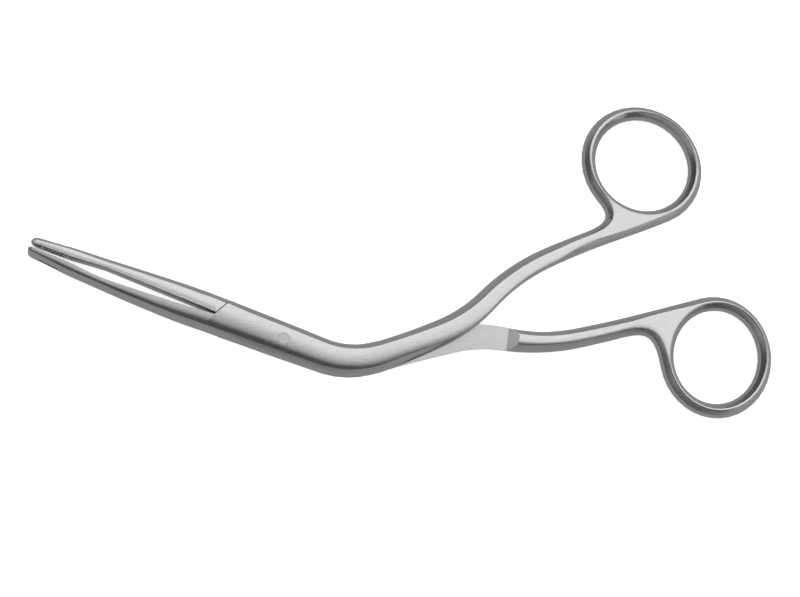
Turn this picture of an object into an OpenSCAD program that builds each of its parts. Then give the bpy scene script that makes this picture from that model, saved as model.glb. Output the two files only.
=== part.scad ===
// Angled introducing forceps with two finger rings and serrated jaws.
// Seen from above, +X runs from the jaw tips to the rings and +Z points up out of the flat side.
// Each half is one forging: jaw, half of the lap joint, shank and ring. One screw joins them.

/* [Jaws] */
// Distance from the pivot to the jaw tips
jaw_reach = 69.3; // [60:0.1:80]
// Slope of the closed jaws below the line of the X axis, in degrees
jaw_slope = 21.2; // [15:0.1:27]
// How far the closed lower jaw bows away from the closing line
lower_bow = 0.6; // [0:0.05:1]
// How far the closed upper jaw bows away from the closing line
upper_bow = 0.15; // [0:0.05:1]
// Height of one jaw's back above the closing line, at the tip
tip_h = 2.65; // [2.2:0.05:3.2]
// Height of one jaw's back above the closing line, behind the gripping pad
waist_h = 3.75; // [3.5:0.05:4.3]
// Height of one jaw's back above the closing line, at the joint
root_h = 5.1; // [4.7:0.05:5.5]
// Length of the gripping pad
pad_len = 11; // [9:0.5:13]
// Width of the gripping pad, across the flat side
pad_w = 6; // [5.4:0.1:6.2]
// Width of the jaw behind the pad, across the flat side
waist_w = 4.8; // [4.4:0.1:5.2]
// Space between one pad's teeth and the closing line
pad_gap = 0.2; // [0.16:0.02:0.4]
// Relief of the jaw behind the pad, from the closing line
relief = 0.8; // [0.6:0.05:1]
// Radius that rounds the tip
tip_r = 1.2; // [0.8:0.1:1.4]

/* [Serrations] */
// Distance from one tooth to the next
tooth_pitch = 1; // [0.9:0.05:1.3]
// Depth of the grooves
tooth_depth = 0.42; // [0.3:0.02:0.5]
// Length of the window through the pad
window_len = 6; // [5:0.5:7]
// Width of the window through the pad
window_w = 1.8; // [1.4:0.1:2.2]

/* [Joint] */
// Thickness of the closed joint
joint_t = 6.2; // [5.8:0.1:6.6]
// Width of the joint at the pivot
joint_w = 9.7; // [9.3:0.1:10.1]
// Distance from the pivot to the shoulder at the jaw side
shoulder_reach = 18.6; // [17:0.2:20]
// Distance along the shank from the pivot to the foot of the ramp
ramp_reach = 61.1; // [58:0.1:64]
// Length of the ramp that brings the shank back to its full thickness
ramp_len = 2.6; // [2:0.1:3.4]
// Running clearance between the two lap faces
lap_play = 0.05; // [0.03:0.01:0.08]
// Clearance between a shoulder and the lap beside it
shoulder_play = 0.25; // [0.1:0.05:0.3]

/* [Screw] */
// Diameter of the plain part of the screw, on which the joint turns
journal_d = 4; // [3.6:0.1:4.4]
// Radial running clearance of the joint on the screw
journal_play = 0.03; // [0.02:0.01:0.06]
// Diameter of the screw's end, held in the upper half
end_d = 3; // [2.6:0.1:3.2]
// Radial clearance of the screw's end in its hole
end_play = 0.02; // [0.01:0.01:0.04]
// Diameter of the screw's head
head_d = 6.2; // [5.8:0.1:6.6]
// Height of the screw's head
head_h = 1.3; // [1.1:0.1:1.5]
// Clearance round and over the head in its seat
head_play = 0.06; // [0.04:0.01:0.1]
// Rise of the head's face towards its edge
head_dome = 0.35; // [0.2:0.05:0.5]
// Width of the slot in the head
slot_w = 0.8; // [0.6:0.1:1]
// Depth of the slot in the head
slot_depth = 0.6; // [0.4:0.1:0.8]

/* [Shanks] */
// Plan width of the rounded flank beside each flat
flank = 1.6; // [1.4:0.05:1.8]
// How far the flats of the joint fall away towards their edges
crown = 0.45; // [0.3:0.05:0.5]
// Width of a shank in the bend behind the joint
bend_w = 8.6; // [8:0.1:9]
// Width of the thumb shank halfway to its ring
thumb_mid_w = 6.1; // [5.6:0.1:6.6]
// Width of the finger shank halfway to its ring
finger_mid_w = 6.6; // [6:0.1:7]
// Width of a shank where it meets its ring
neck_w = 5.1; // [4.6:0.1:5.6]

/* [Thumb ring] */
// Length of the opening of the thumb ring
thumb_ring_l = 26.8; // [24:0.2:29]
// Width of the opening of the thumb ring
thumb_ring_w = 25.4; // [23:0.2:27]
// Turn of the thumb ring's long axis, in degrees
thumb_ring_turn = 140; // [110:5:170]

/* [Finger ring] */
// Length of the opening of the finger ring
finger_ring_l = 25.6; // [24:0.2:28]
// Width of the opening of the finger ring
finger_ring_w = 23.4; // [22:0.2:26]
// Turn of the finger ring's long axis, in degrees
finger_ring_turn = 75; // [60:5:110]

/* [Rings] */
// Width of the band of both rings, in plan
band_w = 3.9; // [3.6:0.1:4.4]
// Thickness of the rings, across the flat side
ring_t = 5.2; // [4.8:0.1:5.6]

/* [Hidden] */

// Shank paths from the pivot, as tangent arcs: each row is a length and a turn in degrees.
// The finger half is drawn upside down and mirrored afterwards, so that both jaws lie below their
// path and both rings above it.
thumb_path = [[10.4, 0], [16.2, 39.4], [17.8, 5.7], [14.9, 21.3], [20.7, -21.1], [12.4, -3.4]];
finger_path = [[11.6, 0], [11.5, -34.9], [24.2, 2.7], [12.8, 21.8], [19.9, -21.9], [13, -2.2]];
// Place of each ring's centre beyond the end of its shank: bearing from the shank's direction and
// distance past the ring's outer edge
thumb_seat = [31.9, 9.9];
finger_seat = [30.7, 10.1];
// Stretch of each ring's outer edge that the neck covers, as bearings from the shank's direction:
// the end of the fillet and the end of the long blend
thumb_neck = [197, 273];
finger_neck = [185, 271];

// Jaw, from its root at the shoulder to the tip
root_level = 2;
root_len = 10;
root_fall = 0.2;
root_gap = 0.06;
root_rake = 0.06;
relief_len = 16.4;
waist_back = 8.5;
pad_back_h = 3.45;
pad_flare = 3;
tip_narrowing = 0.6;
tip_turns = [80, 55, 30];
waist_flank = 1.1;
tip_flank = 0.9;
inner_flank = 0.3;
crown_len = 15;
jaw_crown = 0.25;
tip_lean = 0.6;
groove_start = 0.8;

// Widths along a shank, and their distances from the pivot
bend_reach = 20.6;
after_bend = [33, 7.6];
fore_ramp = [46, 6.9];
mid_reach = 58;
fore_ring = [70, 5.6];

// Slant of the shoulders, and how far it fades out on either side
skew = 0.52;
jaw_fade = 8;
shank_fade = 10;

// Necks: pull of the fillet towards its corner, and the handles of the long blend
fillet_pull = 0.8;
blend_start = 9;
blend_end = 8;

// Sections: the flank's roundness, and the part of a flat that stays level
flank_power = 1.5;
level = 0.35;
flat_places = [-1, -0.85, -0.62, -level, 0, level, 0.62, 0.85, 1];

// Lap: its half width, where it starts behind the pivot, and the step along its edges
lap_reach = 8.37;
lap_start = -10;
lap_step = 7;
slot_turn = 35;
end_sink = 0.03;
dome_steps = 6;

// Fineness
flat_steps = len(flat_places) - 1;
side_steps = 6;
fan = 3;
neck_steps = 8;
ring_steps = 30;
shank_step = 2.6;
jaw_step = 2.4;

mid_z = joint_t / 2;
over = 1;

thumb = [
    thumb_path, -jaw_slope, thumb_mid_w, thumb_seat, thumb_neck,
    [thumb_ring_l, thumb_ring_w, thumb_ring_turn]
];
finger = [
    finger_path, jaw_slope, finger_mid_w, finger_seat, finger_neck,
    [finger_ring_l, finger_ring_w, -finger_ring_turn]
];

function ray(a) = [cos(a), sin(a)];
function left_of(a) = [-sin(a), cos(a)];
function mix(a, b, t) = a + (b - a) * t;
function total(v, i = 0) = i == len(v) ? 0 : v[i][0] + total(v, i + 1);
function plan(p) = [p[0], p[1]];

// End of an arc of length l and turn t that starts at p = [x, y, heading].
function arc_end(p, l, t) =
    abs(t) < 0.01
    ? [p[0] + l * cos(p[2]), p[1] + l * sin(p[2]), p[2]]
    : let (r = l / (t * PI / 180))
      [p[0] + r * (sin(p[2] + t) - sin(p[2])), p[1] - r * (cos(p[2] + t) - cos(p[2])), p[2] + t];

// Place and heading at a distance s along a half's path, straight on before its start.
function on_path(half, s) = walk(half[0], s, [0, 0, half[1]], 0);
function walk(path, s, p, i) =
    s < 0 || i == len(path)
    ? arc_end(p, s, 0)
    : s <= path[i][0]
    ? arc_end(p, s, path[i][1] * s / path[i][0])
    : walk(path, s - path[i][0], arc_end(p, path[i][0], path[i][1]), i + 1);

// A table of [place, value] rows, read with its corners eased.
function eased(s, rows, d = 3) =
    (lookup(s - d, rows) + 2 * lookup(s, rows) + lookup(s + d, rows)) / 4;

// One flank of a section, from the top flat to the bottom flat: [inset from the edge, height].
function side(inset, h) =
    [for (j = [0:side_steps])
        let (u = cos(180 * j / side_steps)) [inset * pow(abs(u), flank_power), h * u]];

// Height of a flat above its own edge, at a place t from -1 to 1 across it.
function crowned(t, k) = k * (1 - pow(max(0, (abs(t) - level) / (1 - level)), 2));

// A closed section between the plan points lo and hi. It runs down the flank at lo, across the
// bottom flat, up the flank at hi and back across the top flat. With a lean of 1 the flats fall
// away towards lo only.
function section(lo, hi, inset_lo, inset_hi, half_t, k, lean) =
    let (
        n = (hi - lo) / norm(hi - lo),
        h = half_t - k,
        a = lo + n * inset_lo,
        b = hi - n * inset_hi,
        down = side(inset_lo, h),
        up = side(inset_hi, h + crowned(1 - lean, k)),
        flat = [for (i = [1:flat_steps - 1])
            let (t = flat_places[i])
                [mix(a, b, (t + 1) / 2), h + crowned(mix(t, (t - 1) / 2, lean), k)]]
    )
    concat(
        [for (q = down) [each lo + n * q[0], mid_z + q[1]]],
        [for (q = flat) [each q[0], mid_z - q[1]]],
        [for (j = [side_steps:-1:0]) [each hi - n * up[j][0], mid_z + up[j][1]]],
        [for (i = [len(flat) - 1:-1:0]) [each flat[i][0], mid_z + flat[i][1]]]
    );

// Surfaces, as lists of triangles.
function closed(a) = concat(a, [a[0]]);
function band(a, b) =
    [for (i = [0:len(a) - 2]) each [[a[i], b[i], b[i + 1]], [a[i], b[i + 1], a[i + 1]]]];
function skin(rows) = [for (i = [0:len(rows) - 2]) each band(closed(rows[i]), closed(rows[i + 1]))];
function open_skin(rows) = [for (i = [0:len(rows) - 2]) each band(rows[i], rows[i + 1])];
function centre(v, i = 0) = i == len(v) ? [0, 0, 0] : v[i] / len(v) + centre(v, i + 1);
function cap(a) = let (m = centre(a), c = closed(a)) [for (i = [0:len(a) - 1]) [m, c[i], c[i + 1]]];
function flipped(v) = [for (f = v) [f[0], f[2], f[1]]];
function sound(v) = [for (f = v) if (f[0] != f[1] && f[1] != f[2] && f[2] != f[0]) f];
function part_of(a, i, j) = let (c = closed(a)) [for (k = [i:j]) c[k]];

// Between a list of points and one that has fan times as many steps.
function fanned(a, b) =
    [for (i = [0:len(a) - 2]) each concat(
        [for (j = [0:fan - 2]) [a[i], b[i * fan + j], b[i * fan + j + 1]]],
        [
            [a[i], b[i * fan + fan - 1], a[i + 1]],
            [a[i + 1], b[i * fan + fan - 1], b[i * fan + fan]]
        ]
    )];

module shell(faces) {
    polyhedron([for (f = faces) each f], [for (i = [0:len(faces) - 1]) [3 * i + 2, 3 * i + 1, 3 * i]]);
}

// Jaw: distances d run from the pivot back to the tip, offsets across from the closing line.
pad_end = jaw_reach - pad_len;
waist_reach = pad_end - waist_back;
back_rows = [
    [shoulder_reach + root_level, root_h], [shoulder_reach + root_len, root_h - root_fall],
    [waist_reach, waist_h], [pad_end, pad_back_h],
    [jaw_reach, tip_h]
];
gap_rows = [
    [shoulder_reach, root_gap], [shoulder_reach + relief_len, relief / 2], [waist_reach, relief],
    [pad_end, pad_gap],
    [jaw_reach, pad_gap]
];
thick_rows = [
    [shoulder_reach, joint_t], [waist_reach, waist_w], [pad_end + pad_flare, pad_w],
    [jaw_reach, pad_w - tip_narrowing]
];
flank_rows = [[shoulder_reach, flank], [waist_reach, waist_flank], [jaw_reach, tip_flank]];
lean_rows = [[shoulder_reach, 1], [jaw_reach, tip_lean]];
crown_rows = [[shoulder_reach, crown], [shoulder_reach + crown_len, jaw_crown]];

function bow(heading, d) =
    (heading < 0 ? -lower_bow : -upper_bow)
    * sin(180 * max(0, d - shoulder_reach) / (jaw_reach - shoulder_reach));
function jaw_skew(d) = skew * max(0, 1 - abs(d - shoulder_reach) / jaw_fade);
function jaw_point(heading, d, off) = -ray(heading) * (d - off * jaw_skew(d)) + left_of(heading) * off;

function jaw_section(heading, d, cut) =
    let (
        b = bow(heading, d),
        lo = jaw_point(heading, d, b - eased(d, back_rows, 1.5) + cut),
        hi = jaw_point(heading, d, b - lookup(d, gap_rows) - cut / 2),
        w = norm(hi - lo),
        half_t = eased(d, thick_rows, d > shoulder_reach ? 3 : 0) / 2 - cut
    )
    section(
        lo, hi, min(lookup(d, flank_rows), w * 0.5), min(inner_flank, w * 0.2), half_t,
        lookup(d, crown_rows), lookup(d, lean_rows)
    );

function jaw_rows(heading) = concat(
    [for (a = tip_turns) jaw_section(heading, jaw_reach - tip_r * (1 - sin(a)), tip_r * (1 - cos(a)))],
    [for (d = [jaw_reach - tip_r:-jaw_step:shoulder_reach + over]) jaw_section(heading, d, 0)],
    [jaw_section(heading, shoulder_reach + root_rake, 0)]
);

// Shank: distances s run from the shoulder, through the pivot, to the neck of the ring.
function width_rows(half) = [
    [-shoulder_reach, 2 * root_h], [0, joint_w], [bend_reach, bend_w], after_bend, fore_ramp,
    [mid_reach, half[2]], fore_ring, [total(half[0]), neck_w]
];

// A narrow flat falls away less than a wide one.
function crown_of(w) = crown * (w - 2 * flank) / (joint_w - 2 * flank);

function shank_section(half, s) =
    let (
        p = on_path(half, s),
        w = s < 0 ? lookup(s, width_rows(half)) : eased(s, width_rows(half)),
        k = skew * max(0, 1 - (s + shoulder_reach) / shank_fade),
        t = lookup(s, [[ramp_reach + ramp_len, joint_t], [total(half[0]), ring_t]]),
        across = (left_of(p[2]) + ray(p[2]) * k) * w / 2
    )
    section(plan(p) - across, plan(p) + across, flank, flank, t / 2, crown_of(w), 0);

function shank_rows(half) =
    let (l = total(half[0]) + shoulder_reach, n = ceil(l / shank_step))
    [for (i = [0:n - 1]) shank_section(half, l * i / n - shoulder_reach)];

// Ring: an oval opening in a band of even width.
function ring_centre(half) =
    let (p = on_path(half, total(half[0])))
    plan(p) + ray(p[2] + half[3][0]) * (half[5][0] / 2 + band_w + half[3][1]);

// A point of the oval that stands off the opening's edge by e, seen from the centre at the angle t.
function oval(half, e, t) =
    let (ring = half[5], a = ring[2], r = [(ring[0] / 2 + e) * cos(t - a), (ring[1] / 2 + e) * sin(t - a)])
    ring_centre(half) + ray(a) * r[0] + left_of(a) * r[1];
function outer(half, t) = oval(half, band_w, t);
function inward(half, t) =
    let (v = outer(half, t + 0.5) - outer(half, t - 0.5)) [-v[1], v[0]] / norm(v);

ring_crown = crown_of(neck_w);
ring_h = ring_t / 2 - ring_crown;
function flat_z(up, rise) = mid_z + (up ? 1 : -1) * (ring_h + rise);

function ring_row(half, t, rise) =
    let (
        o = outer(half, t),
        i = oval(half, 0, t),
        n = inward(half, t),
        m = (o - i) / norm(o - i),
        mid = (o + n * flank + i + m * flank) / 2,
        down = side(flank, ring_h)
    )
    concat(
        [[each o + n * down[0][0], flat_z(true, rise)]],
        [for (j = [1:side_steps - 1]) [each o + n * down[j][0], mid_z + down[j][1]]],
        [[each o + n * down[side_steps][0], flat_z(false, rise)]],
        [[each mid, flat_z(false, max(rise, ring_crown))]],
        [for (j = [side_steps:-1:0]) [each i + m * down[j][0], mid_z + down[j][1]]],
        [[each mid, flat_z(true, max(rise, ring_crown))]]
    );

// Neck: both edges of the shank run on into the ring's outer edge, one by a tight fillet and one by
// a long blend. The flats between them follow, from the shank's end to the ring.
function bezier(a, b, c, d, t) =
    a * pow(1 - t, 3) + b * 3 * t * pow(1 - t, 2) + c * 3 * t * t * (1 - t) + d * pow(t, 3);

function neck_angle(half, g) = on_path(half, total(half[0]))[2] + mix(half[4][1], half[4][0], g);

function rail(half, up, t) =
    let (
        p = on_path(half, total(half[0])),
        start = plan(p) + left_of(p[2]) * neck_w / 2 * (up ? 1 : -1),
        a = neck_angle(half, up ? 1 : 0),
        end = outer(half, a),
        n = inward(half, a),
        back = [n[1], -n[0]] * (up ? 1 : -1),
        ahead = ray(p[2]),
        corner = start + ahead * cross(end - start, back) / cross(ahead, back)
    )
    up
    ? bezier(start, mix(start, corner, fillet_pull), mix(end, corner, fillet_pull), end, t)
    : bezier(start, start + ahead * blend_start, end + back * blend_end, end, t);

function rail_normal(half, up, t) =
    t == 1
    ? inward(half, neck_angle(half, up ? 1 : 0))
    : t == 0
    ? left_of(on_path(half, total(half[0]))[2]) * (up ? -1 : 1)
    : let (v = rail(half, up, t + 0.01) - rail(half, up, t - 0.01))
      [-v[1], v[0]] / norm(v) * (up ? -1 : 1);

function rail_side(half, up, t) =
    let (q = rail(half, up, t), n = rail_normal(half, up, t))
    [for (s = side(flank, ring_h)) [each q + n * s[0], mid_z + s[1]]];

function rim(half, g) = let (a = neck_angle(half, g)) outer(half, a) + inward(half, a) * flank;

// Place from 0 to 1 across a flat of the i-th of n points.
function across(i, n) =
    (lookup(i / n * flat_steps, [for (j = [0:flat_steps]) [j, flat_places[j]]]) + 1) / 2;

// A point of the neck's flat at g across and t along: the blend of its four edges.
function neck_point(half, lo0, hi0, lo, hi, g, t) =
    t == 1
    ? rim(half, g)
    : mix(lo, hi, g) + mix(lo0, hi0, g) * (1 - t) + rim(half, g) * t
      - mix(lo0, hi0, g) * (1 - t) - mix(rim(half, 0), rim(half, 1), g) * t;

function neck_row(half, t, n) =
    let (
        lo = rail_side(half, false, t),
        hi = rail_side(half, true, t),
        lo0 = plan(rail_side(half, false, 0)[0]),
        hi0 = plan(rail_side(half, true, 0)[0]),
        flat = [for (i = [1:n - 1]) let (g = across(i, n))
            [neck_point(half, lo0, hi0, plan(lo[0]), plan(hi[0]), g, t), crowned(2 * g - 1, ring_crown)]]
    )
    concat(
        lo,
        [for (q = flat) [each q[0], flat_z(false, q[1])]],
        [for (j = [side_steps:-1:0]) hi[j]],
        [for (i = [n - 2:-1:0]) [each flat[i][0], flat_z(true, flat[i][1])]]
    );

// One whole half before its lap is cut.
module half_form(half) {
    fine = fan * flat_steps;
    jaw = jaw_rows(half[1]);
    neck_start = neck_row(half, 0, flat_steps);
    shank = concat(shank_rows(half), [neck_start]);
    neck = [for (i = [1:neck_steps]) neck_row(half, i / neck_steps, fine)];
    turn = [neck_angle(half, 1), neck_angle(half, 0)];
    free = [for (i = [0:ring_steps])
        ring_row(half, i == ring_steps ? turn[1] : mix(turn[0], turn[1] - 360, i / ring_steps), 0)];
    held = [for (i = [0:fine]) let (g = across(i, fine))
        ring_row(half, neck_angle(half, g), crowned(2 * g - 1, ring_crown))];
    s = side_steps;
    row = len(free[0]);
    root = jaw[len(jaw) - 1];
    jaw_end = concat(part_of(shank[0], 0, s), part_of(root, s + 1, len(root) - 1));
    shell(concat(
        flipped(cap(jaw[0])),
        flipped(skin([for (i = [0:len(jaw) - 2]) jaw[i]])),
        flipped(skin([jaw[len(jaw) - 2], jaw_end])),
        sound(flipped(skin([jaw_end, shank[0]]))),
        flipped(skin(shank)),
        flipped(band(part_of(neck_start, 0, s), part_of(neck[0], 0, s))),
        flipped(fanned(part_of(neck_start, s, s + flat_steps), part_of(neck[0], s, s + fine))),
        flipped(band(
            part_of(neck_start, s + flat_steps, 2 * s + flat_steps),
            part_of(neck[0], s + fine, 2 * s + fine)
        )),
        flipped(fanned(
            part_of(neck_start, 2 * s + flat_steps, 2 * (s + flat_steps)),
            part_of(neck[0], 2 * s + fine, 2 * (s + fine))
        )),
        flipped(skin(neck)),
        skin(free),
        open_skin([for (r = held) part_of(r, s, row)])
    ));
}

// Everything that a half's lap clears for the other half, on one side of the mid plane.
module lap_space(half, up) {
    z = mid_z - (up ? 1 : -1) * lap_play / 2;
    out = up ? joint_t + over : -over;
    d = shoulder_reach + shoulder_play;
    stops = [for (s = [lap_start:lap_step:ramp_reach - lap_step / 2]) s];
    places = concat(stops, [ramp_reach]);
    edge = function(side) [for (s = places) let (p = on_path(half, s)) plan(p) + left_of(p[2]) * side];
    lower = edge(-lap_reach);
    upper = edge(lap_reach);
    end = on_path(half, ramp_reach);
    slope = ramp_len / (mid_z + lap_play / 2);
    translate([0, 0, min(z, out)])
        linear_extrude(abs(out - z))
            polygon(concat(
                [
                    -ray(half[1]) * d + left_of(half[1]) * lap_reach,
                    -ray(half[1]) * d,
                    -ray(half[1]) * (d - skew * lap_reach) - left_of(half[1]) * lap_reach
                ],
                lower,
                [for (i = [len(upper) - 1:-1:0]) upper[i]]
            ));
    translate([end[0], end[1], 0])
        rotate([0, 0, end[2]])
            rotate([90, 0, 0])
                linear_extrude(2 * lap_reach, center = true)
                    polygon([[-over, z], [0, z], [slope * abs(out - z), out], [-over, out]]);
}

// Grooves across the face of the pad.
module grooves(half) {
    n = floor((pad_len - tip_r) / tooth_pitch) - 1;
    for (i = [0:n - 1]) {
        d = pad_end + tooth_pitch * (i + groove_start);
        face = bow(half[1], d) - lookup(d, gap_rows);
        rotate([0, 0, half[1]])
            translate([-d, face, mid_z])
                linear_extrude(pad_w + 2 * over, center = true)
                    polygon([[0, -tooth_depth], [tooth_pitch * 0.5, 0.1], [-tooth_pitch * 0.5, 0.1]]);
    }
}

// Window through the pad, from its back to its teeth.
module pad_window(half) {
    run = (window_len - window_w) / 2;
    middle = pad_end + (pad_len - tip_r) / 2;
    rotate([0, 0, half[1]])
        translate([-middle, 0, mid_z])
            rotate([90, 0, 0])
                linear_extrude(4 * tip_h, center = true) {
                    square([2 * run, window_w], center = true);
                    for (x = [-run, run])
                        translate([x, 0])
                            circle(d = window_w, $fn = 32);
                }
}

module half_body(half, up) {
    difference() {
        half_form(half);
        lap_space(half, up);
        grooves(half);
        pad_window(half);
    }
}

// The model's place: the middle of its plan box lies over the origin.
function plan_reach(half, axis, sign) =
    max([for (t = [0:2:358]) outer(half, t)[axis] * sign]);
tip_x = min([for (r = jaw_rows(-jaw_slope)) for (q = r) q[0]]);
box_x = [tip_x, plan_reach(finger, 0, 1)];
box_y = [-plan_reach(finger, 1, 1), plan_reach(thumb, 1, 1)];
middle = [(box_x[0] + box_x[1]) / 2, (box_y[0] + box_y[1]) / 2];

module placed() {
    translate([-middle[0], -middle[1], 0])
        children();
}

// Upper half: lower jaw, upper lap and thumb ring.
module thumb_half() {
    color("lightsteelblue")
        placed()
            difference() {
                half_body(thumb, false);
                cylinder(h = joint_t + over, d = end_d + 2 * end_play, $fn = 48);
            }
}

// Lower half: upper jaw, lower lap and finger ring, with the seat of the screw.
module finger_half() {
    color("silver")
        placed()
            difference() {
                mirror([0, 1, 0])
                    half_body(finger, true);
                translate([0, 0, -over])
                    cylinder(h = joint_t, d = journal_d + 2 * journal_play, $fn = 48);
                translate([0, 0, -over])
                    cylinder(h = head_h + head_play + over, d = head_d + 2 * head_play, $fn = 64);
            }
}

// Shoulder screw: its end is held in the upper half and ground flush with it. Its head is sunk in
// the lower half and domed to follow the underside.
module pivot_screw() {
    color("gainsboro")
        placed()
            difference() {
                union() {
                    rotate_extrude($fn = 64)
                        polygon(concat(
                            [[0, head_h]],
                            [for (i = [0:dome_steps]) head_d / 2 * [i / dome_steps, 0]
                                + [0, head_dome * pow(i / dome_steps, 2)]],
                            [[head_d / 2, head_h]]
                        ));
                    translate([0, 0, head_h / 2])
                        cylinder(h = mid_z - head_h / 2, d = journal_d, $fn = 48);
                    translate([0, 0, head_h / 2])
                        cylinder(h = joint_t - end_sink - head_h / 2, d = end_d, $fn = 48);
                }
                translate([0, 0, slot_depth / 2 - over / 2])
                    rotate([0, 0, slot_turn])
                        cube([head_d + over, slot_w, slot_depth + over], center = true);
            }
}

thumb_half();
finger_half();
pivot_screw();
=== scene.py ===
"""Photograph of closed, angled introducing forceps lying on a white studio surface.

Lengths are in millimetres where a name ends in MM or mm, and in metres elsewhere.
"""
import math

import bmesh
import bpy
import numpy as np
from mathutils import Matrix, Vector, kdtree


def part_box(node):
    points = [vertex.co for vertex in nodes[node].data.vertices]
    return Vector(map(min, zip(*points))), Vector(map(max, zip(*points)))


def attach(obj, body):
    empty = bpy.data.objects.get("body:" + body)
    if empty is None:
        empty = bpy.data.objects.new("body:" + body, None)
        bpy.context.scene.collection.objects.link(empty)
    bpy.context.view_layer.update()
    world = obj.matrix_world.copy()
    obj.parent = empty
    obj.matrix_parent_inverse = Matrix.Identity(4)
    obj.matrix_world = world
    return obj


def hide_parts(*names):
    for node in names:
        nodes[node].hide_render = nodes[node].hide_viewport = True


MM = 0.001

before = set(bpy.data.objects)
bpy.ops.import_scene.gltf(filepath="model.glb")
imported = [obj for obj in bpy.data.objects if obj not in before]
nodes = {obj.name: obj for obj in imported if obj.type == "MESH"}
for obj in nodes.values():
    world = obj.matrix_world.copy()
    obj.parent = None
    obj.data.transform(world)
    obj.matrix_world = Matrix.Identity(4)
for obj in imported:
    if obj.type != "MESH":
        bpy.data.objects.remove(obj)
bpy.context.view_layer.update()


# Colour and shader helpers

def linear(code):
    """A hex sRGB colour as linear red, green, blue and alpha."""
    out = []
    for i in (1, 3, 5):
        v = int(code[i:i + 2], 16) / 255
        out.append(v / 12.92 if v <= 0.04045 else ((v + 0.055) / 1.055) ** 2.4)
    return out + [1.0]


def add(tree, kind, settings=None, inputs=None, links=None):
    """Adds a node to a tree, with its settings, its socket values and what feeds its sockets."""
    node = tree.nodes.new(kind)
    for key, value in (settings or {}).items():
        setattr(node, key, value)
    for key, value in (inputs or {}).items():
        node.inputs[key].default_value = value
    for key, socket in (links or {}).items():
        tree.links.new(socket, node.inputs[key])
    return node


def new_material(name):
    """An empty node material with its output node."""
    material = bpy.data.materials.new(name)
    material.use_nodes = True
    tree = material.node_tree
    tree.nodes.clear()
    output = add(tree, "ShaderNodeOutputMaterial")
    return material, tree, output


# Materials

# Real grinding lines are about 0.05 mm wide, which is too fine to show in the picture, so they are
# drawn as coarse as it takes to see them faintly.
LINE_MM = 0.3
LINE_LEN_MM = 3.0
LINE_DEPTH_MM = 0.025
TURNED_LINE_MM = 0.2
TURNED_LINE_LEN_MM = 0.8
PATCH_MM = 14
PATCH_SHARE = 0.35
EDGE_ROUND_MM = 0.15


def ground_pattern(tree, line_mm, line_len_mm, turn_deg):
    """The height of the grinding lines, and how worn the steel is by the lines and by soft patches."""
    coords = add(tree, "ShaderNodeTexCoord").outputs["Object"]
    lines = add(
        tree, "ShaderNodeMapping",
        inputs={
            "Rotation": (0, 0, math.radians(turn_deg)),
            "Scale": (1 / (line_len_mm * MM), 1 / (line_mm * MM), 1 / (line_mm * MM)),
        },
        links={"Vector": coords},
    ).outputs["Vector"]
    height = add(
        tree, "ShaderNodeTexNoise", inputs={"Scale": 1.0, "Detail": 3.0, "Roughness": 0.6},
        links={"Vector": lines},
    ).outputs["Fac"]
    patches = add(
        tree, "ShaderNodeTexNoise", inputs={"Scale": 1 / (PATCH_MM * MM), "Detail": 2.0},
        links={"Vector": coords},
    ).outputs["Fac"]
    wear = add(
        tree, "ShaderNodeMath", {"operation": "MULTIPLY_ADD"}, inputs={1: PATCH_SHARE},
        links={0: patches, 2: height},
    ).outputs[0]
    return height, wear


def ground_steel(name, line_mm, line_len_mm, turn_deg, dull=0.0):
    """Ground stainless steel: pale neutral grey with soft, wide reflections, faint grinding lines and
    faint cloudy patches in its brightness, and edges broken by polishing, which catch a thin light.
    The dull share is what a coarser wheel adds to its roughness.
    """
    material, tree, output = new_material(name)
    height, wear = ground_pattern(tree, line_mm, line_len_mm, turn_deg)
    rough = add(
        tree, "ShaderNodeMapRange",
        inputs={"From Min": 0.3, "From Max": 1.0, "To Min": 0.20 + dull, "To Max": 0.28 + dull},
        links={"Value": wear},
    ).outputs["Result"]
    pale = add(
        tree, "ShaderNodeMapRange", inputs={"From Min": 0.4, "From Max": 0.95},
        links={"Value": wear},
    ).outputs["Result"]
    # A colour mix takes its two colours at sockets 6 and 7, and gives the mixed one at output 2.
    colour = add(
        tree, "ShaderNodeMix", {"data_type": "RGBA"},
        inputs={6: linear("#bdbdbd"), 7: linear("#cfcfcf")}, links={0: pale},
    ).outputs[2]
    broken_edge = add(
        tree, "ShaderNodeBevel", {"samples": 6}, inputs={"Radius": EDGE_ROUND_MM * MM},
    ).outputs["Normal"]
    bump = add(
        tree, "ShaderNodeBump", inputs={"Strength": 0.4, "Distance": LINE_DEPTH_MM * MM},
        links={"Height": height, "Normal": broken_edge},
    ).outputs["Normal"]
    shader = add(
        tree, "ShaderNodeBsdfPrincipled", inputs={"Metallic": 1.0},
        links={"Base Color": colour, "Roughness": rough, "Normal": bump},
    )
    tree.links.new(shader.outputs["BSDF"], output.inputs["Surface"])
    return material


def paper(name, code, glow):
    """Matte studio paper, which takes a soft grey shadow and no reflection. Light that comes through
    it from below makes the shadow paler.
    """
    material, tree, output = new_material(name)
    shader = add(
        tree, "ShaderNodeBsdfPrincipled",
        inputs={
            "Base Color": linear(code), "Roughness": 0.9, "Specular IOR Level": 0.1,
            "Emission Color": linear("#ffffff"), "Emission Strength": glow,
        },
    )
    tree.links.new(shader.outputs["BSDF"], output.inputs["Surface"])
    return material


# Flats of the thumb half's shank

# A half is widest at its waist, this near the middle of its thickness. A point there lies on one of
# its sides where this share of its normal points outward.
WAIST_MM = 0.06
OUTWARD_SHARE = 0.3

# The flanks' widths in the CAD, and those of the lower and the upper flank as ground here.
FLANK_MM = 1.6
LOWER_FLANK_MM = 0.65
UPPER_FLANK_MM = 1.95

# Along x, the flats come over to the lower side between the first two places and go back between
# the other two.
SHIFT_FROM_MM = (-4, 12)
SHIFT_TO_MM = (38, 48)


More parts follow.
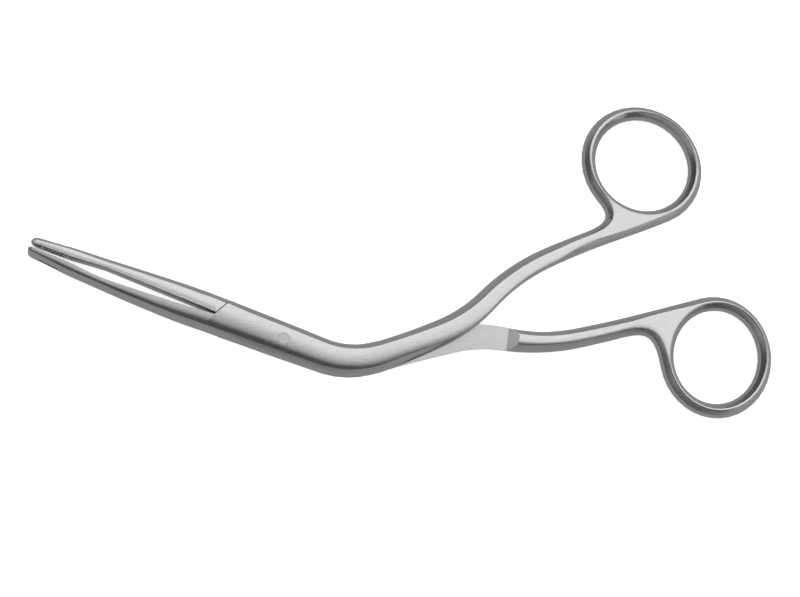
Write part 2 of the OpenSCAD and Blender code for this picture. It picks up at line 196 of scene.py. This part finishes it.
def lap_height():
    """The height of the lap, which is the middle of both halves' thickness."""
    low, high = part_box("thumb_half")
    return (low.z + high.z) / 2


def smooth_step(value, ends):
    """0 before the first end, 1 past the second, and smooth between them."""
    t = min(max((value - ends[0]) / (ends[1] - ends[0]), 0), 1)
    return t * t * (3 - 2 * t)


def waist_side(work, middle, side):
    """The places and outward directions along one side of a half's waist, and a tree that finds the
    nearest of them.
    """
    points = [
        v for v in work.verts
        if abs(v.co.z - middle) < WAIST_MM * MM
        and v.normal.xy.length > OUTWARD_SHARE and side * v.normal.y > 0
    ]
    spots = [(v.co.xy.to_3d(), v.normal.xy.normalized().to_3d()) for v in points]
    tree = kdtree.KDTree(len(spots))
    for i, (place, outward) in enumerate(spots):
        tree.insert(place, i)
    tree.balance()
    return spots, tree


def shift_flats(work):
    """Grinds the thumb half's shank with a narrow lower flank and a wide upper one."""
    work.normal_update()
    middle = lap_height()
    lower, lower_tree = waist_side(work, middle, -1)
    upper, upper_tree = waist_side(work, middle, 1)
    for v in work.verts:
        x_mm = v.co.x / MM
        share = smooth_step(x_mm, SHIFT_FROM_MM) * (1 - smooth_step(x_mm, SHIFT_TO_MM))
        if share == 0 or abs(v.co.z - middle) < WAIST_MM * MM:
            continue
        place = v.co.xy.to_3d()
        edge, outward = lower[lower_tree.find(place)[1]]
        far_edge = upper[upper_tree.find(place)[1]][0]
        across_mm = (edge - place).dot(outward) / MM
        width_mm = (edge - far_edge).dot(outward) / MM
        old_mm = [0, FLANK_MM, width_mm - FLANK_MM, width_mm]
        new_mm = [0, LOWER_FLANK_MM, width_mm - UPPER_FLANK_MM, width_mm]
        moved_mm = np.interp(across_mm, old_mm, new_mm) - across_mm
        v.co -= outward * moved_mm * share * MM


# Lap joint

# The lap's flat is level and lies this near the middle of the thickness.
LEVEL = 0.999
LAP_BAND_MM = 0.2

# The upward share of the ramp's normal lies between these, and its lengthwise share is above the
# first. The hollow is how much the level counts in its shading, where the slope counts 1.
RAMP_TILT = (0.6, 0.69)
HOLLOW = 1.6


def on_ramp(normal):
    """Whether a face slopes as the lap's ramp does."""
    return RAMP_TILT[0] < abs(normal.z) < RAMP_TILT[1] and abs(normal.x) > RAMP_TILT[0]


def lap_faces(work):
    """The flat of the lap joint, and the ramp that ends it, in a half's mesh."""
    middle = lap_height()
    flat = {
        face for face in work.faces
        if abs(face.normal.z) > LEVEL
        and abs(face.calc_center_median().z - middle) < LAP_BAND_MM * MM
    }
    ramp = set()
    rim = flat
    while rim:
        near = {
            other for face in rim for edge in face.edges for other in edge.link_faces
            if other not in flat and other not in ramp
        }
        rim = {face for face in near if on_ramp(face.normal)}
        ramp |= rim
    return flat | ramp


def grind_lap(work):
    """Gives the lap the finish of a coarser wheel, which is a half's second material."""
    for face in lap_faces(work):
        face.material_index = 1


def grind_thumb_half(work):
    """Grinds the thumb half's own shank, and then its lap."""
    shift_flats(work)
    grind_lap(work)


def ease_ramp(mesh):
    """Shades the lap's ramp as the hollow that a wheel leaves, which catches more light from above
    than a flat slope.
    """
    normals = [Vector(corner.vector) for corner in mesh.corner_normals]
    for polygon in mesh.polygons:
        if polygon.material_index == 1 and on_ramp(polygon.normal):
            level = Vector((0, 0, math.copysign(1, polygon.normal.z)))
            for corner in polygon.loop_indices:
                normals[corner] = (polygon.normal + HOLLOW * level).normalized()
    mesh.normals_split_custom_set(normals)


# Screw

# The steel around the screw's plain end lies this near its axis and this near its top, and the end
# itself lies this near the top.
AROUND_MM = 2.2
TOP_MM = 0.5
END_MM = 0.01


def grind_flush(screw):
    """Gives the screw's plain end the slope of the crowned steel around it, as grinding does."""
    low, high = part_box("pivot_screw")
    middle = (low + high) / 2
    around = np.array([
        v.co for v in nodes["thumb_half"].data.vertices
        if v.co.z > high.z - TOP_MM * MM and (v.co - middle).xy.length < AROUND_MM * MM
    ])
    columns = np.column_stack([around[:, 0], around[:, 1], np.ones(len(around))])
    slope = np.linalg.lstsq(columns, around[:, 2], rcond=None)[0]
    for v in screw.verts:
        if v.co.z > high.z - END_MM * MM:
            v.co.z = slope[0] * v.co.x + slope[1] * v.co.y + slope[2]


# Steel pieces

MERGE_MM = 0.002
CRISP_EDGE = math.radians(13)


def steel_piece(name, body, materials, grind):
    """A steel piece as it is finished, with its faces joined and smooth between its crisp edges."""
    work = bmesh.new()
    work.from_mesh(nodes[name].data)
    bmesh.ops.remove_doubles(work, verts=work.verts, dist=MERGE_MM * MM)
    for face in work.faces:
        face.smooth = True
    for edge in work.edges:
        edge.smooth = edge.calc_face_angle(math.pi) < CRISP_EDGE
    grind(work)
    mesh = bpy.data.meshes.new(name + "_finished")
    work.to_mesh(mesh)
    work.free()
    # The loose triangles bring normals of their own, which would hide the smoothing.
    mesh.attributes.remove(mesh.attributes["custom_normal"])
    for material in materials:
        mesh.materials.append(material)
    ease_ramp(mesh)
    piece = bpy.data.objects.new(name + "_finished", mesh)
    bpy.context.scene.collection.objects.link(piece)
    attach(piece, body)
    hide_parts(name)


satin = ground_steel("satin_ground_stainless_steel", LINE_MM, LINE_LEN_MM, 20)
coarse = ground_steel("coarsely_ground_stainless_steel", LINE_MM, LINE_LEN_MM, 100, dull=0.1)
turned = ground_steel("turned_stainless_steel", TURNED_LINE_MM, TURNED_LINE_LEN_MM, 35)

steel_piece("thumb_half", "thumb_half", [satin, coarse], grind_thumb_half)
steel_piece("finger_half", "finger_half", [satin, coarse], grind_lap)
steel_piece("pivot_screw", "thumb_half", [turned], grind_flush)


# Surface the forceps lie on

SHEET_SIZE = 3.0
TABLE_Z = -0.0002


def flat_sheet(name, z, material):
    """A square of the studio surface."""
    mesh = bpy.data.meshes.new(name)
    h = SHEET_SIZE / 2
    mesh.from_pydata([(-h, -h, z), (h, -h, z), (h, h, z), (-h, h, z)], [], [(0, 1, 2, 3)])
    mesh.materials.append(material)
    sheet = bpy.data.objects.new(name, mesh)
    bpy.context.scene.collection.objects.link(sheet)
    return sheet


# The steel mirrors a grey table, and the picture shows white paper on it.
white = flat_sheet("studio_surface", 0.0, paper("backlit_white_studio_paper", "#e0e0e0", 0.8))
white.visible_glossy = False
white.visible_shadow = False
grey = flat_sheet("mirrored_table", TABLE_Z, paper("matte_grey_table", "#a2a2a2", 0))
grey.visible_camera = False
grey.visible_diffuse = False
grey.visible_shadow = False


# Camera

# The camera looks at the target from the end of the second vector, both matched to the photograph.
LENS_MM = 65.25
SENSOR_MM = 36
TARGET = Vector((-2.502, -10.781, 3.1)) * MM
TARGET_TO_CAMERA = Vector((-51.268, -77.287, 371.695)) * MM


def photo_camera():
    """The camera of the photograph: nearly overhead, its picture's width level."""
    data = bpy.data.cameras.new("camera")
    data.lens = LENS_MM
    data.sensor_width = SENSOR_MM
    data.clip_start = 0.01
    camera = bpy.data.objects.new("camera", data)
    bpy.context.scene.collection.objects.link(camera)
    away = TARGET_TO_CAMERA.normalized()
    right = Vector((1, 0, 0)) - away * away.x
    right.normalize()
    up = away.cross(right)
    turn = Matrix((right, up, away)).transposed().to_4x4()
    camera.matrix_world = Matrix.Translation(TARGET + TARGET_TO_CAMERA) @ turn
    bpy.context.scene.camera = camera


photo_camera()


# Light

# The dark side of the studio is turned from minus y towards minus x by this much.
DARK_SIDE = math.radians(33.5)

# The level flats mirror the key box just inside its edge, so a flat turns grey where its crown leans
# towards the dark side.
CEILING_Z = 0.9
CEILING_WIDE = 2.4
KEY_EDGE = 0.122
KEY_DEEP = 1.8
FILL_DEEP = 0.26


def soft_box(name, place, size, radiance, tilt=0, mirrored=True):
    """A rectangular soft box with the brightness that it shows. Its place is given across, away from
    and above the dark side of the studio, and its tilt is 0 where it shines straight down.
    """
    data = bpy.data.lights.new(name, "AREA")
    data.shape = "RECTANGLE"
    data.size, data.size_y = size
    data.energy = radiance * math.pi * size[0] * size[1]
    light = bpy.data.objects.new(name, data)
    bpy.context.scene.collection.objects.link(light)
    turn = Matrix.Rotation(-DARK_SIDE, 4, "Z")
    light.matrix_world = turn @ Matrix.Translation(place) @ Matrix.Rotation(tilt, 4, "Y")
    light.visible_glossy = mirrored


def studio_lights():
    """Two boxes overhead, a low one over the dark side, one as a wall on the right, and one that
    lights the paper without showing in the steel.
    """
    key_y = KEY_EDGE + KEY_DEEP / 2
    fill_y = KEY_EDGE - FILL_DEEP / 2
    soft_box("key_box", (0, key_y, CEILING_Z), (CEILING_WIDE, KEY_DEEP), 1.2)
    soft_box("fill_box", (0, fill_y, CEILING_Z), (CEILING_WIDE, FILL_DEEP), 0.42)
    soft_box("low_box", (0, -1.1, 0.5), (2.6, 1.1), 0.45)
    soft_box("wall_box", (1.4, 0.6, 0.4), (0.8, 2.0), 0.7, tilt=math.radians(90))
    soft_box("paper_box", (0, 0.1, 1.0), (1.6, 1.6), 0.6, mirrored=False)


def studio_walls():
    """The dim grey of the rest of the studio."""
    world = bpy.data.worlds.new("studio")
    world.use_nodes = True
    background = world.node_tree.nodes["Background"]
    background.inputs["Color"].default_value = linear("#505050")
    background.inputs["Strength"].default_value = 1.0
    bpy.context.scene.world = world


studio_lights()
studio_walls()
bpy.context.scene.view_settings.view_transform = "Standard"
